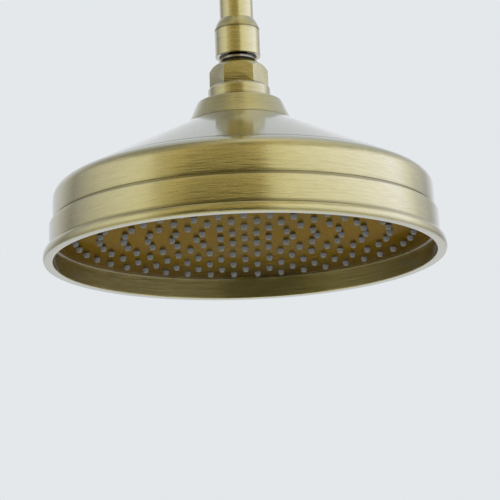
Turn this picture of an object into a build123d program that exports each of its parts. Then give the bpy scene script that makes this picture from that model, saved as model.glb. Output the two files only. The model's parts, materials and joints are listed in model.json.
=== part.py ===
"""Rain shower rose with a deep apron, hung from a ceiling on a short drop arm by a ball swivel.

Lengths are in millimetres.  +Z is up, the origin is the centre of the ceiling face, and the rose
hangs below it with its axis on Z.  Heights named *_h are measured up from the rim of the rose.
"""

from math import cos, radians, sin, sqrt, tan
import os

from build123d import *

# Overall sizes: the radius of the rim, and the arm from the ceiling to the foot of its end collar
rose_r = 100.0
arm_drop = 150.0

# Pipe of the arm and its inlet
pipe_r = 8.5
pipe_wall = 1.5
inlet_thread_r = 10.4775
inlet_thread_length = 14.0
inlet_bore_r = 5.5
inlet_hex_flats = 24.0
inlet_hex_height = 8.0
inlet_plug_length = 14.0

# Ceiling flange
flange_r = 34.0
flange_edge = 3.5
flange_step = 2.5
flange_lip = 3.0
flange_wall = 2.5
flange_cove_height = 9.0
flange_bow_in = 0.28
flange_bow_down = 0.62
flange_boss_wall = 4.5
flange_boss_height = 9.0
flange_ring_r = 0.9
flange_ring_inset = 1.5
grub_r = 2.0
grub_inset = 3.2
grub_key_flats = 2.0
grub_key_depth = 1.6

# Collar on the lower end of the arm
end_collar_r = 11.4
end_collar_height = 14.2
end_shoulder_height = 5.4
end_shoulder_wall = 0.4
end_bow_out = 0.58
end_bow_up = 0.56
end_edge_round = 0.3
end_groove_width = 0.8
end_groove_depth = 0.35
end_dish_reach = 3.8
end_dish_depth = 2.0
pipe_socket_depth = 8.7
stud_ring_r = 0.9
stud_ring_inset = 2.1
strainer_thickness = 1.0
strainer_hole_r = 0.7
strainer_pitch = 2.2

# Ball swivel
ball_r = 9.0
stem_r = 6.0
stem_waist_depth = 1.3
stem_waist_drop = 0.2
stud_bore_r = 3.4
shell_thickness = 0.9
seat_ring_angles = (9.0, 27.5)
seal_angles = (-49.0, -11.0)
swivel_gap = 2.85
dust_ring_room = 3.25
dust_ring_wall = 0.55
dust_ring_height = 1.2
dust_seal_inset = 0.2
dust_seal_height = 1.05
dust_seal_foot_thickness = 0.4

# Hexagon nut over the ball, and the round lock collar under it
nut_wall = 1.5
nut_height = 13.05
nut_dome_r = 18.4
nut_land = 0.5
nut_mouth_flare = 0.2
nut_lip_room = 2.6
nut_lip_height = 2.8
nut_thread_height = 2.0
collar_width = 4.5
collar_height = 7.05
collar_chamfer = 1.5

# Neck of the rose
neck_height = 12.02
neck_waist_height = 10.39
neck_shelf = 0.3
neck_crown = 5.7
neck_flare = 4.8
neck_crown_bow = (0.51, 0.62)
neck_flare_bow = (0.468, 0.493)
neck_spigot_wall = 0.7
neck_spigot_end_gap = 0.4
neck_bore_r = 6.5
neck_ledge_drop = 5.3
neck_thread_wall = 5.5
neck_thread_length = 22.0
neck_washer_width = 7.4
neck_washer_thickness = 1.5
locknut_wall = 4.0
locknut_height = 8.0
gasket_edge = 2.5
gasket_width = 4.0
gasket_thickness = 1.0

# Dome of the rose: an upright band with a groove at its foot, a rounded shoulder and a shallow cone
band_height = 12.6
band_groove_width = 1.78
band_groove_depth = 0.5
dome_wall = 1.4
shoulder_reach = 8.95
shoulder_rise = 8.7
knee_reach = 2.9
knee_rise = 5.55
cone_slope = 26.4

# Apron ring with its flared lip
apron_wall = 1.85
apron_skirt_wall = 1.4
apron_lap = 3.25
apron_top_round = 0.3
lip_flare = 3.4
lip_root = 2.6
lip_h = 4.7
lip_edge_h = 2.9
lip_foot_h = 1.4
lip_foot_inset = 0.2
lip_edge_chamfer = 0.75
lip_groove_width = 0.8
lip_groove_depth = 0.6

# Spray face, from the plate up
plate_h = 11.4
plate_thickness = 1.5
mat_thickness = 1.0
chamber_rim_thickness = 1.5
chamber_rim_width = 5.0
chamber_depth = 3.0
chamber_wall = 2.0
nozzle_margin = 10.0
nozzle_pitch = 12.0
nozzles_per_ring = 6
nozzle_root_r = 1.8
nozzle_tip_r = 1.3
nozzle_bore_r = 0.6
nozzle_reach = 2.0
snap_ring_width = 1.5
snap_ring_thickness = 1.0
snap_ring_bite = 0.6
snap_ring_gap = 12.0

# Feed from the neck to the spray chamber
feed_wall = 1.9
feed_ring_section = 1.3
feed_ring_inset = 6.0
hub_floor = 2.1
hub_wall = 3.5
hub_depth = 13.0
regulator_thickness = 4.0
regulator_hole_r = 1.4
regulator_hole_circle_r = 4.5
regulator_holes = 6

# Clearances
turning_gap = 0.3
thread_gap = 0.05
slip_gap = 0.1
ring_squeeze_gap = 0.02

# Radii of the apron and dome, from the rim inwards
apron_r = rose_r - lip_flare
apron_inner_r = apron_r - apron_skirt_wall
band_r = apron_r - apron_wall - slip_gap
crease_r = band_r - shoulder_reach
plate_r = apron_inner_r - slip_gap

# Radii of the swivel and neck, from the ball outwards
shell_r = ball_r + turning_gap
seat_r = shell_r + shell_thickness + turning_gap
neck_spigot_r = seat_r + neck_spigot_wall
nut_thread_r = neck_spigot_r + thread_gap
nut_flats = 2 * (nut_thread_r + nut_wall)
nut_lip_r = stem_r + nut_lip_room
nut_mouth_r = nut_lip_r + nut_mouth_flare
nut_top_r = nut_mouth_r + nut_land
stem_waist_r = stem_r - stem_waist_depth
dust_ring_inner_r = stem_waist_r + dust_ring_room
dust_ring_r = dust_ring_inner_r + dust_ring_wall
collar_r = neck_spigot_r + collar_width
neck_top_r = collar_r + neck_shelf
neck_waist_r = neck_top_r + neck_crown
neck_base_r = neck_waist_r + neck_flare
feed_r = neck_bore_r + feed_wall
feed_socket_r = feed_r + slip_gap
neck_thread_r = feed_socket_r + neck_thread_wall
gasket_inner_r = neck_thread_r + gasket_edge
gasket_outer_r = gasket_inner_r + gasket_width

# Heights of the rose, from the rim up
plate_top_h = plate_h + plate_thickness
mat_top_h = plate_top_h + mat_thickness
skirt_h = mat_top_h + chamber_rim_thickness
roof_h = mat_top_h + chamber_depth
roof_top_h = roof_h + chamber_wall
feed_end_h = roof_top_h + hub_floor
hub_h = feed_end_h + hub_depth
apron_h = skirt_h + apron_lap
band_top_h = apron_h + band_height
crease_h = band_top_h + shoulder_rise


def cone_h(radius, inset=0.0):
    """Height of the cone of the dome at a radius, on its skin or a wall thickness below it."""
    rise = (crease_r - radius) * tan(radians(cone_slope))
    return crease_h + rise - inset / cos(radians(cone_slope))


land_h = cone_h(neck_base_r)
neck_waist_h = land_h + neck_waist_height
neck_top_h = land_h + neck_height
collar_top_h = neck_top_h + collar_height
nut_top_h = collar_top_h + nut_height
dust_seal_top_h = nut_top_h + dust_seal_height
ball_h = nut_top_h - nut_lip_height - sqrt(seat_r**2 - nut_lip_r**2)
arm_foot_h = nut_top_h + swivel_gap
rim_z = -(arm_drop + arm_foot_h)
ledge_h = neck_top_h - neck_ledge_drop
regulator_h = ledge_h - regulator_thickness
feed_ring_r = feed_ring_section / 2
feed_ring_middle_r = feed_socket_r - ring_squeeze_gap - feed_ring_r
feed_ring_heights = [land_h - neck_thread_length + feed_ring_inset, hub_h - feed_ring_inset]
ball_z = rim_z + ball_h

# Radii of the arm and its flange
flange_boss_r = pipe_r + flange_boss_wall
end_shoulder_r = pipe_r + end_shoulder_wall
end_dish_r = stem_r + end_dish_reach

# Levels of the arm and its flange, down from the ceiling
flange_cove_top = -flange_edge - flange_step
flange_cove_foot = flange_cove_top - flange_cove_height
flange_foot = flange_cove_foot - flange_boss_height
flange_ring_z = flange_cove_foot - flange_ring_inset
grub_z = flange_foot + grub_inset
collar_low = -arm_drop
collar_high = collar_low + end_collar_height
shoulder_high = collar_high + end_shoulder_height
pipe_foot = shoulder_high - pipe_socket_depth
strainer_low = pipe_foot - strainer_thickness
stud_top = strainer_low - slip_gap
stud_ring_z = collar_low + end_dish_depth + stud_ring_inset


def turned(*curves):
    """Solid turned about Z from curves drawn with the radius as X and the height as Y."""
    return revolve(Plane.XZ * make_face(curves), axis=Axis.Z)


def ring(inner_r, outer_r, low, high):
    """Plain ring about Z; an inner radius of zero gives a disc."""
    outer = Pos(0, 0, low) * extrude(Circle(outer_r), high - low)
    if inner_r == 0:
        return outer
    return outer - Pos(0, 0, low) * extrude(Circle(inner_r), high - low)


def drills(spots, radius, low, high):
    """Straight round drills, one at each place."""
    drill = ring(0, radius, low, high)
    return [spot * drill for spot in spots]


def hexagon(flats, low, high):
    """Hexagonal prism about Z with a flat towards -Y."""
    section = RegularPolygon(flats / 2, 6, major_radius=False)
    return Pos(0, 0, low) * extrude(section, high - low)


def ball_shell(angles):
    """Ring that fits round the ball with turning room, between two angles from its equator."""
    low, high = (shell_r * sin(radians(angle)) for angle in angles)
    outer_r = shell_r + shell_thickness
    shell = ring(0, outer_r, low, high) & (Sphere(outer_r) - Sphere(shell_r))
    return Pos(0, 0, ball_z) * shell


def seal_ring(middle_r, section_r, height):
    """Rubber ring of round section about Z."""
    return Pos(0, 0, height) * Torus(middle_r, section_r)


def ceiling_flange():
    """Flared cover at the ceiling, with a boss that grips the pipe."""
    top = (flange_r - flange_lip, flange_cove_top)
    foot = (flange_boss_r, flange_cove_foot)
    bow_r = foot[0] + flange_bow_in * (top[0] - foot[0])
    bow_z = top[1] + flange_bow_down * (foot[1] - top[1])
    skin = turned(
        Polyline((0, 0), (flange_r, 0), (flange_r, -flange_edge), top),
        ThreePointArc(top, (bow_r, bow_z), foot),
        Polyline(foot, (flange_boss_r, flange_foot), (0, flange_foot), (0, 0)),
    )
    hollow_r = inlet_hex_flats / 2 * 2 / sqrt(3) + turning_gap
    hollow_foot = -inlet_hex_height - turning_gap
    hollow = turned(
        Polyline(
            (0, 0),
            (flange_r - flange_wall, 0),
            (flange_r - flange_wall, flange_wall - flange_edge),
            (hollow_r, hollow_foot),
            (0, hollow_foot),
            (0, 0),
        )
    )
    pipe_hole = ring(0, pipe_r + slip_gap, flange_foot, 0)
    groove = ring(0, pipe_r + 2 * flange_ring_r + ring_squeeze_gap, flange_ring_z - flange_ring_r,
                  flange_ring_z + flange_ring_r)
    screw_hole = Pos(0, 0, grub_z) * Rot(X=-90) * extrude(Circle(grub_r + thread_gap), flange_r)
    return skin - hollow - pipe_hole - groove - screw_hole


def grub_screw():
    """Socket screw that bears on the back of the pipe."""
    length = flange_boss_r - pipe_r - ring_squeeze_gap
    key = Pos(0, 0, length - grub_key_depth) * extrude(
        RegularPolygon(grub_key_flats / 2, 6, major_radius=False), grub_key_depth
    )
    screw = extrude(Circle(grub_r), length) - key
    return Pos(0, pipe_r + ring_squeeze_gap, grub_z) * Rot(X=-90) * screw


def inlet_fitting():
    """Ceiling inlet: pipe-thread spigot, spanner hexagon, and the plug soldered into the pipe."""
    plug_r = pipe_r - pipe_wall - thread_gap
    plug_foot = -inlet_hex_height - inlet_plug_length
    body = hexagon(inlet_hex_flats, -inlet_hex_height, 0)
    body += ring(0, inlet_thread_r, 0, inlet_thread_length)
    body += ring(0, plug_r, plug_foot, -inlet_hex_height)
    return body - ring(0, inlet_bore_r, plug_foot, inlet_thread_length)


def drop_pipe():
    """Straight brass tube of the arm."""
    return ring(pipe_r - pipe_wall, pipe_r, pipe_foot, -inlet_hex_height)


def arm_end_fitting():
    """Turned collar on the foot of the pipe that takes the ball stud."""
    mid_r = end_shoulder_r + end_bow_out * (end_collar_r - end_shoulder_r)
    mid_z = collar_high + end_bow_up * end_shoulder_height
    body = turned(
        Polyline((0, collar_low), (end_collar_r - end_edge_round, collar_low)),
        RadiusArc(
            (end_collar_r - end_edge_round, collar_low),
            (end_collar_r, collar_low + end_edge_round),
            -end_edge_round,
        ),
        Line((end_collar_r, collar_low + end_edge_round), (end_collar_r, collar_high)),
        ThreePointArc((end_collar_r, collar_high), (mid_r, mid_z), (end_shoulder_r, shoulder_high)),
        Polyline((end_shoulder_r, shoulder_high), (0, shoulder_high), (0, collar_low)),
    )
    dish = turned(
        Polyline(
            (0, collar_low),
            (end_dish_r, collar_low),
            (stem_r, collar_low + end_dish_depth),
            (0, collar_low + end_dish_depth),
            (0, collar_low),
        )
    )
    line = ring(end_collar_r - end_groove_depth, end_collar_r, collar_high - end_groove_width, collar_high)
    groove = ring(0, stem_r + 2 * stud_ring_r + ring_squeeze_gap, stud_ring_z - stud_ring_r,
                  stud_ring_z + stud_ring_r)
    stud_hole = ring(0, stem_r + thread_gap, collar_low, strainer_low)
    socket = ring(0, pipe_r + thread_gap, strainer_low, shoulder_high)
    return body - line - dish - groove - stud_hole - socket


def arm_strainer():
    """Perforated disc that keeps grit out of the swivel."""
    disc = ring(0, pipe_r, strainer_low, pipe_foot)
    reach = stem_r - strainer_hole_r
    count = int(reach / strainer_pitch)
    steps = [i * strainer_pitch for i in range(-count, count + 1)]
    spots = [(x, y) for x in steps for y in steps if x * x + y * y < reach * reach]
    return disc - drills([Pos(x, y) for x, y in spots], strainer_hole_r, strainer_low, pipe_foot)


def ball_stud():
    """Hollow brass ball on the waisted stem that screws into the arm."""
    body = Pos(0, 0, ball_z) * Sphere(ball_r) + ring(0, stem_r, ball_z, stud_top)
    waist_low = rim_z + nut_top_h - stem_waist_drop
    body -= ring(stem_waist_r, stem_r, waist_low, collar_low + end_dish_depth)
    return body - ring(0, stud_bore_r, ball_z - ball_r, stud_top)


def seat_ring():
    """Hard ring that rides on the upper half of the ball."""
    return ball_shell(seat_ring_angles)


def ball_seal():
    """Soft ring that carries the lower half of the ball and keeps the water in."""
    return ball_shell(seal_angles)


def at_rim(part):
    """Part drawn from the rim of the rose, moved to its height under the ceiling."""
    return Pos(0, 0, rim_z) * part


def ball_nut():
    """Domed hexagon nut that holds the ball down on its seal."""
    dome_drop = sqrt(nut_dome_r**2 - nut_top_r**2)
    body = hexagon(nut_flats, collar_top_h, nut_top_h)
    body &= Pos(0, 0, nut_top_h - dome_drop) * Sphere(nut_dome_r)
    thread_top_h = collar_top_h + nut_thread_height
    seat_foot_r = sqrt(seat_r**2 - (ball_h - thread_top_h) ** 2)
    lip_seat_h = ball_h + sqrt(seat_r**2 - nut_lip_r**2)
    hollow = turned(
        Polyline(
            (0, collar_top_h),
            (nut_thread_r, collar_top_h),
            (nut_thread_r, thread_top_h),
            (seat_foot_r, thread_top_h),
        ),
        ThreePointArc((seat_foot_r, thread_top_h), (seat_r, ball_h), (nut_lip_r, lip_seat_h)),
        Polyline((nut_lip_r, lip_seat_h), (nut_mouth_r, nut_top_h), (0, nut_top_h), (0, collar_top_h)),
    )
    return at_rim(body - hollow)


def dust_seal():
    """Black rubber ring on the top of the nut that keeps grit off the ball."""
    body = ring(0, nut_top_r - slip_gap, nut_top_h, nut_top_h + dust_seal_foot_thickness)
    body += ring(0, dust_ring_r - dust_seal_inset, nut_top_h, dust_seal_top_h)
    return at_rim(body - ring(0, dust_ring_inner_r, nut_top_h, dust_seal_top_h))


def dust_ring():
    """Thin steel ring on the dust seal, round the waist of the stem."""
    return at_rim(ring(dust_ring_inner_r, dust_ring_r, dust_seal_top_h, dust_seal_top_h + dust_ring_height))


def lock_collar():
    """Round collar that locks the nut on the neck."""
    chamfer_r = collar_r - collar_chamfer
    body = turned(
        Polyline(
            (nut_thread_r, neck_top_h),
            (collar_r, neck_top_h),
            (collar_r, collar_top_h - collar_chamfer),
            (chamfer_r, collar_top_h),
            (nut_thread_r, collar_top_h),
            (nut_thread_r, neck_top_h),
        )
    )
    return at_rim(body)


def neck_socket():
    """Turned neck with the ball's cup above and the thread through the dome below."""
    spigot_top_h = collar_top_h + nut_thread_height - neck_spigot_end_gap
    flare_r = neck_waist_r + neck_flare_bow[0] * neck_flare
    flare_h = land_h + neck_flare_bow[1] * neck_waist_height
    crown_r = neck_top_r + neck_crown_bow[0] * neck_crown
    crown_h = neck_waist_h + neck_crown_bow[1] * (neck_top_h - neck_waist_h)
    body = turned(
        ThreePointArc((neck_base_r, land_h), (flare_r, flare_h), (neck_waist_r, neck_waist_h)),
        ThreePointArc((neck_waist_r, neck_waist_h), (crown_r, crown_h), (neck_top_r, neck_top_h)),
        Polyline(
            (neck_top_r, neck_top_h),
            (neck_spigot_r, neck_top_h),
            (neck_spigot_r, spigot_top_h),
            (0, spigot_top_h),
            (0, land_h - neck_thread_length),
            (neck_thread_r, land_h - neck_thread_length),
            (neck_thread_r, land_h),
            (neck_base_r, land_h),
        ),
    )
    body -= Pos(0, 0, ball_h) * Sphere(seat_r)
    body -= ring(0, neck_bore_r, ledge_h, ball_h)
    body -= ring(0, feed_socket_r, land_h - neck_thread_length, ledge_h)
    body -= ring(gasket_inner_r, gasket_outer_r, land_h, land_h + gasket_thickness)
    return at_rim(body)


def neck_gasket():
    """Flat rubber ring let into the foot of the neck."""
    return at_rim(ring(gasket_inner_r, gasket_outer_r, land_h, land_h + gasket_thickness))


def neck_washer():
    """Plain washer under the top of the dome."""
    high = land_h - dome_wall
    inner_r = neck_thread_r + slip_gap
    return at_rim(ring(inner_r, inner_r + neck_washer_width, high - neck_washer_thickness, high))


def neck_locknut():
    """Nut inside the dome that clamps the neck down."""
    high = land_h - dome_wall - neck_washer_thickness
    inner_r = neck_thread_r + thread_gap
    body = hexagon(2 * (inner_r + locknut_wall), high - locknut_height, high)
    return at_rim(body - ring(0, inner_r, high - locknut_height, high))


def flow_regulator():
    """Drilled disc under the ledge of the neck that evens the flow."""
    disc = ring(0, feed_r, regulator_h, ledge_h)
    spots = PolarLocations(regulator_hole_circle_r, regulator_holes).locations
    return at_rim(disc - drills(spots, regulator_hole_r, regulator_h, ledge_h))


def feed_tube():
    """Tube from the neck down to the spray chamber, grooved for a rubber ring at each end."""
    body = ring(feed_r - feed_wall, feed_r, feed_end_h, regulator_h)
    groove_r = feed_ring_middle_r - feed_ring_r - ring_squeeze_gap
    for height in feed_ring_heights:
        body -= ring(groove_r, feed_r, height - feed_ring_r, height + feed_ring_r)
    return at_rim(body)


def feed_tube_rings():
    """The two rubber rings of the feed tube."""
    rings = [seal_ring(feed_ring_middle_r, feed_ring_r, height) for height in feed_ring_heights]
    return at_rim(Compound(rings))


def dome_solid():
    """Solid under the skin of the dome."""
    knee = (band_r - knee_reach, band_top_h + knee_rise)
    crease = (crease_r, crease_h)
    bend = TangentArc((band_r, band_top_h), knee, tangent=(0, 1))
    return turned(
        Line((band_r, skirt_h), (band_r, band_top_h)),
        bend,
        TangentArc(knee, crease, tangent=bend % 1),
        Polyline(crease, (neck_base_r, land_h), (0, land_h), (0, skirt_h), (band_r, skirt_h)),
    )


def dome_hollow():
    """Hollow inside the dome, a wall thickness below its skin."""
    radius = band_r - dome_wall
    foot_r = neck_base_r - dome_wall * tan(radians(cone_slope / 2))
    return turned(
        Polyline(
            (0, skirt_h),
            (radius, skirt_h),
            (radius, band_top_h),
            (crease_r, cone_h(crease_r, dome_wall)),
            (foot_r, land_h - dome_wall),
            (0, land_h - dome_wall),
            (0, skirt_h),
        )
    )


def dome_shell():
    """Spun dome: grooved upright band, rounded shoulder, shallow cone and the land for the neck."""
    hole = ring(0, neck_thread_r + slip_gap, skirt_h, land_h)
    groove = ring(band_r - band_groove_depth, band_r, apron_h, apron_h + band_groove_width)
    return at_rim(dome_solid() - dome_hollow() - hole - groove)


def apron_ring():
    """Deep apron round the spray face, with a flared lip and a groove above it."""
    groove_top_h = lip_h + lip_groove_width
    groove_r = apron_r - lip_groove_depth
    lip_top, lip_edge = (apron_r + lip_root, lip_h), (rose_r, lip_edge_h)
    lip_foot = (rose_r - lip_foot_inset, lip_foot_h)
    body = turned(
        Polyline((apron_inner_r, 0), (rose_r - lip_edge_chamfer, 0), lip_foot),
        ThreePointArc(lip_foot, lip_edge, lip_top),
        Polyline(
            lip_top,
            (groove_r, lip_h),
            (groove_r, groove_top_h),
            (apron_r, groove_top_h),
            (apron_r, apron_h - apron_top_round),
        ),
        RadiusArc(
            (apron_r, apron_h - apron_top_round),
            (apron_r - apron_top_round, apron_h),
            -apron_top_round,
        ),
        Polyline(
            (apron_r - apron_top_round, apron_h),
            (band_r + slip_gap, apron_h),
            (band_r + slip_gap, skirt_h),
            (apron_inner_r, skirt_h),
            (apron_inner_r, 0),
        ),
    )
    bite_r = apron_inner_r + snap_ring_bite + slip_gap
    body -= ring(0, bite_r, plate_h - snap_ring_thickness, plate_h)
    return at_rim(body)


def nozzle_spots():
    """Places of the nozzles: one at the centre and as many rings round it as the plate takes."""
    spots = [Location((0, 0, 0))]
    nozzle_rings = int((plate_r - nozzle_margin) / nozzle_pitch)
    for number in range(1, nozzle_rings + 1):
        spots += PolarLocations(number * nozzle_pitch, number * nozzles_per_ring).locations
    return spots


def spray_plate():
    """Brass face plate with a hole for each nozzle."""
    disc = ring(0, plate_r, plate_h, plate_top_h)
    return at_rim(disc - drills(nozzle_spots(), nozzle_root_r + slip_gap, plate_h, plate_top_h))


def nozzle_mat():
    """Soft mat behind the plate whose nozzles poke through it."""
    tip_h = plate_h - nozzle_reach
    drop = plate_top_h - tip_h
    tooth = Pos(0, 0, tip_h + drop / 2) * Cone(nozzle_tip_r, nozzle_root_r, drop)
    spots = nozzle_spots()
    body = ring(0, plate_r, plate_top_h, mat_top_h)
    body += [spot * tooth for spot in spots]
    return at_rim(body - drills(spots, nozzle_bore_r, tip_h, mat_top_h))


def chamber_plate():
    """Back plate of the spray chamber, with the hub that takes the feed tube."""
    wall_r = band_r - dome_wall - slip_gap
    body = ring(plate_r - chamber_rim_width, plate_r, mat_top_h, skirt_h)
    body += ring(wall_r - chamber_wall, wall_r, skirt_h, roof_top_h)
    body += ring(0, wall_r, roof_h, roof_top_h)
    body += ring(0, feed_socket_r + hub_wall, roof_top_h, hub_h)
    body -= ring(0, feed_socket_r, feed_end_h, hub_h)
    body -= ring(0, feed_r - feed_wall, mat_top_h, feed_end_h)
    return at_rim(body)


def plate_snap_ring():
    """Split spring ring in the apron that holds the spray face up."""
    outer_r = apron_inner_r + snap_ring_bite
    body = ring(outer_r - snap_ring_width, outer_r, plate_h - snap_ring_thickness, plate_h)
    split = Pos(0, outer_r, plate_h) * Box(snap_ring_gap, 4 * snap_ring_width, 4 * snap_ring_thickness)
    return at_rim(body - split)


pieces = {
    "ceiling_flange": ceiling_flange(),
    "flange_rubber_ring": seal_ring(
        pipe_r + ring_squeeze_gap + flange_ring_r, flange_ring_r, flange_ring_z
    ),
    "flange_grub_screw": grub_screw(),
    "inlet_fitting": inlet_fitting(),
    "drop_pipe": drop_pipe(),
    "arm_end_fitting": arm_end_fitting(),
    "arm_strainer": arm_strainer(),
    "stud_rubber_ring": seal_ring(stem_r + ring_squeeze_gap + stud_ring_r, stud_ring_r, stud_ring_z),
    "ball_stud": ball_stud(),
    "seat_ring": seat_ring(),
    "ball_seal": ball_seal(),
    "ball_nut": ball_nut(),
    "dust_seal": dust_seal(),
    "dust_ring": dust_ring(),
    "lock_collar": lock_collar(),
    "neck_socket": neck_socket(),
    "neck_gasket": neck_gasket(),
    "neck_washer": neck_washer(),
    "neck_locknut": neck_locknut(),
    "flow_regulator": flow_regulator(),
    "feed_tube": feed_tube(),
    "feed_tube_rings": feed_tube_rings(),
    "dome_shell": dome_shell(),
    "apron_ring": apron_ring(),
    "spray_plate": spray_plate(),
    "nozzle_mat": nozzle_mat(),
    "chamber_plate": chamber_plate(),
    "plate_snap_ring": plate_snap_ring(),
}

os.makedirs("parts", exist_ok=True)
for name, piece in pieces.items():
    export_step(piece, f"parts/{name}.step")
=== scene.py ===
"""Looks of a rain shower rose in satin brass, hung from a ceiling arm by a ball swivel.

Everything is in metres, in the frame of the CAD part: +Z is up, the origin is the centre of the
ceiling face, and the rose hangs below it with its axis on Z.
"""

import json
import logging
import math
from dataclasses import dataclass
from enum import Enum
from typing import Any, Callable, Sequence

import bmesh
import bpy
import numpy as np
from mathutils import Matrix, Vector


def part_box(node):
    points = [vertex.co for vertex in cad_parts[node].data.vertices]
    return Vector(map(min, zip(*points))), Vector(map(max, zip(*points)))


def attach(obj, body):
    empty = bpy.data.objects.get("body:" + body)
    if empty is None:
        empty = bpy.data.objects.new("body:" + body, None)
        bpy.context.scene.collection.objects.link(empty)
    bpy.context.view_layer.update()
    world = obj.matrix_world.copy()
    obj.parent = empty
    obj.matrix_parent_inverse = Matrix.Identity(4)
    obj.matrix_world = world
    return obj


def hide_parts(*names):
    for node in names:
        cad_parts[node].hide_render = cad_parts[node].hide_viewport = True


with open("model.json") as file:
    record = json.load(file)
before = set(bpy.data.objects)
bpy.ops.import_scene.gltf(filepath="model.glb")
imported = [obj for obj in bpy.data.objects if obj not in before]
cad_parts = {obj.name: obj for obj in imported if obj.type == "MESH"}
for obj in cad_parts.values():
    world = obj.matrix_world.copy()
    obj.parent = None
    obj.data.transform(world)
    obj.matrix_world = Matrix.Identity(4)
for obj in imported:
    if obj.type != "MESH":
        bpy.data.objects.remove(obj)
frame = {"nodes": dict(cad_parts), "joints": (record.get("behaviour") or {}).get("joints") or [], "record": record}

log = logging.getLogger("rain_rose")

Colour = tuple[float, float, float]
Shade = Callable[[np.ndarray, np.ndarray], np.ndarray]
# Point attribute of the marks: worn edges above zero, patina and painted shade below zero.
WEAR_AND_SHADE = "wear_and_shade"
NOISE_MIDDLE = 0.5
MERGE_REACH = 1e-7
OVERHANG = 0.01


class Grain(Enum):
    """The way a brass surface was brushed."""

    ROUND = "round"
    LEVEL = "level"


class Cut(Enum):
    """What a cutting tool leaves of a piece."""

    INSIDE = "INTERSECT"
    OUTSIDE = "DIFFERENCE"


class Body(Enum):
    """The bodies of the frame that new pieces move with."""

    ARM = "arm"
    ROSE = "rose"


class Value:
    """A shader value that changes over a surface, with Python's arithmetic on it."""

    def __init__(self, graph: "Graph", socket: bpy.types.NodeSocket) -> None:
        """Wraps one output socket of a node in the graph."""
        self.graph = graph
        self.socket = socket

    def __add__(self, other: "Value | float") -> "Value":
        """Sum."""
        return self.graph.math("ADD", self, other)

    __radd__ = __add__

    def __sub__(self, other: "Value | float") -> "Value":
        """Difference."""
        return self.graph.math("SUBTRACT", self, other)

    def __rsub__(self, other: float) -> "Value":
        """Difference from a plain number."""
        return self.graph.math("SUBTRACT", other, self)

    def __mul__(self, other: "Value | float") -> "Value":
        """Product."""
        return self.graph.math("MULTIPLY", self, other)

    __rmul__ = __mul__

    def __truediv__(self, other: "Value | float") -> "Value":
        """Quotient."""
        return self.graph.math("DIVIDE", self, other)

    def __rtruediv__(self, other: float) -> "Value":
        """Quotient of a plain number."""
        return self.graph.math("DIVIDE", other, self)

    def __pow__(self, other: "Value | float") -> "Value":
        """Power."""
        return self.graph.math("POWER", self, other)

    def __neg__(self) -> "Value":
        """Opposite."""
        return self.graph.math("MULTIPLY", self, -1.0)

    def above(self, floor: float) -> "Value":
        """This value, or the floor where it is lower."""
        return self.graph.math("MAXIMUM", self, floor)

    def limited(self) -> "Value":
        """This value kept between zero and one."""
        return self.graph.math("ADD", self, 0.0, clamp=True)


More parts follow.
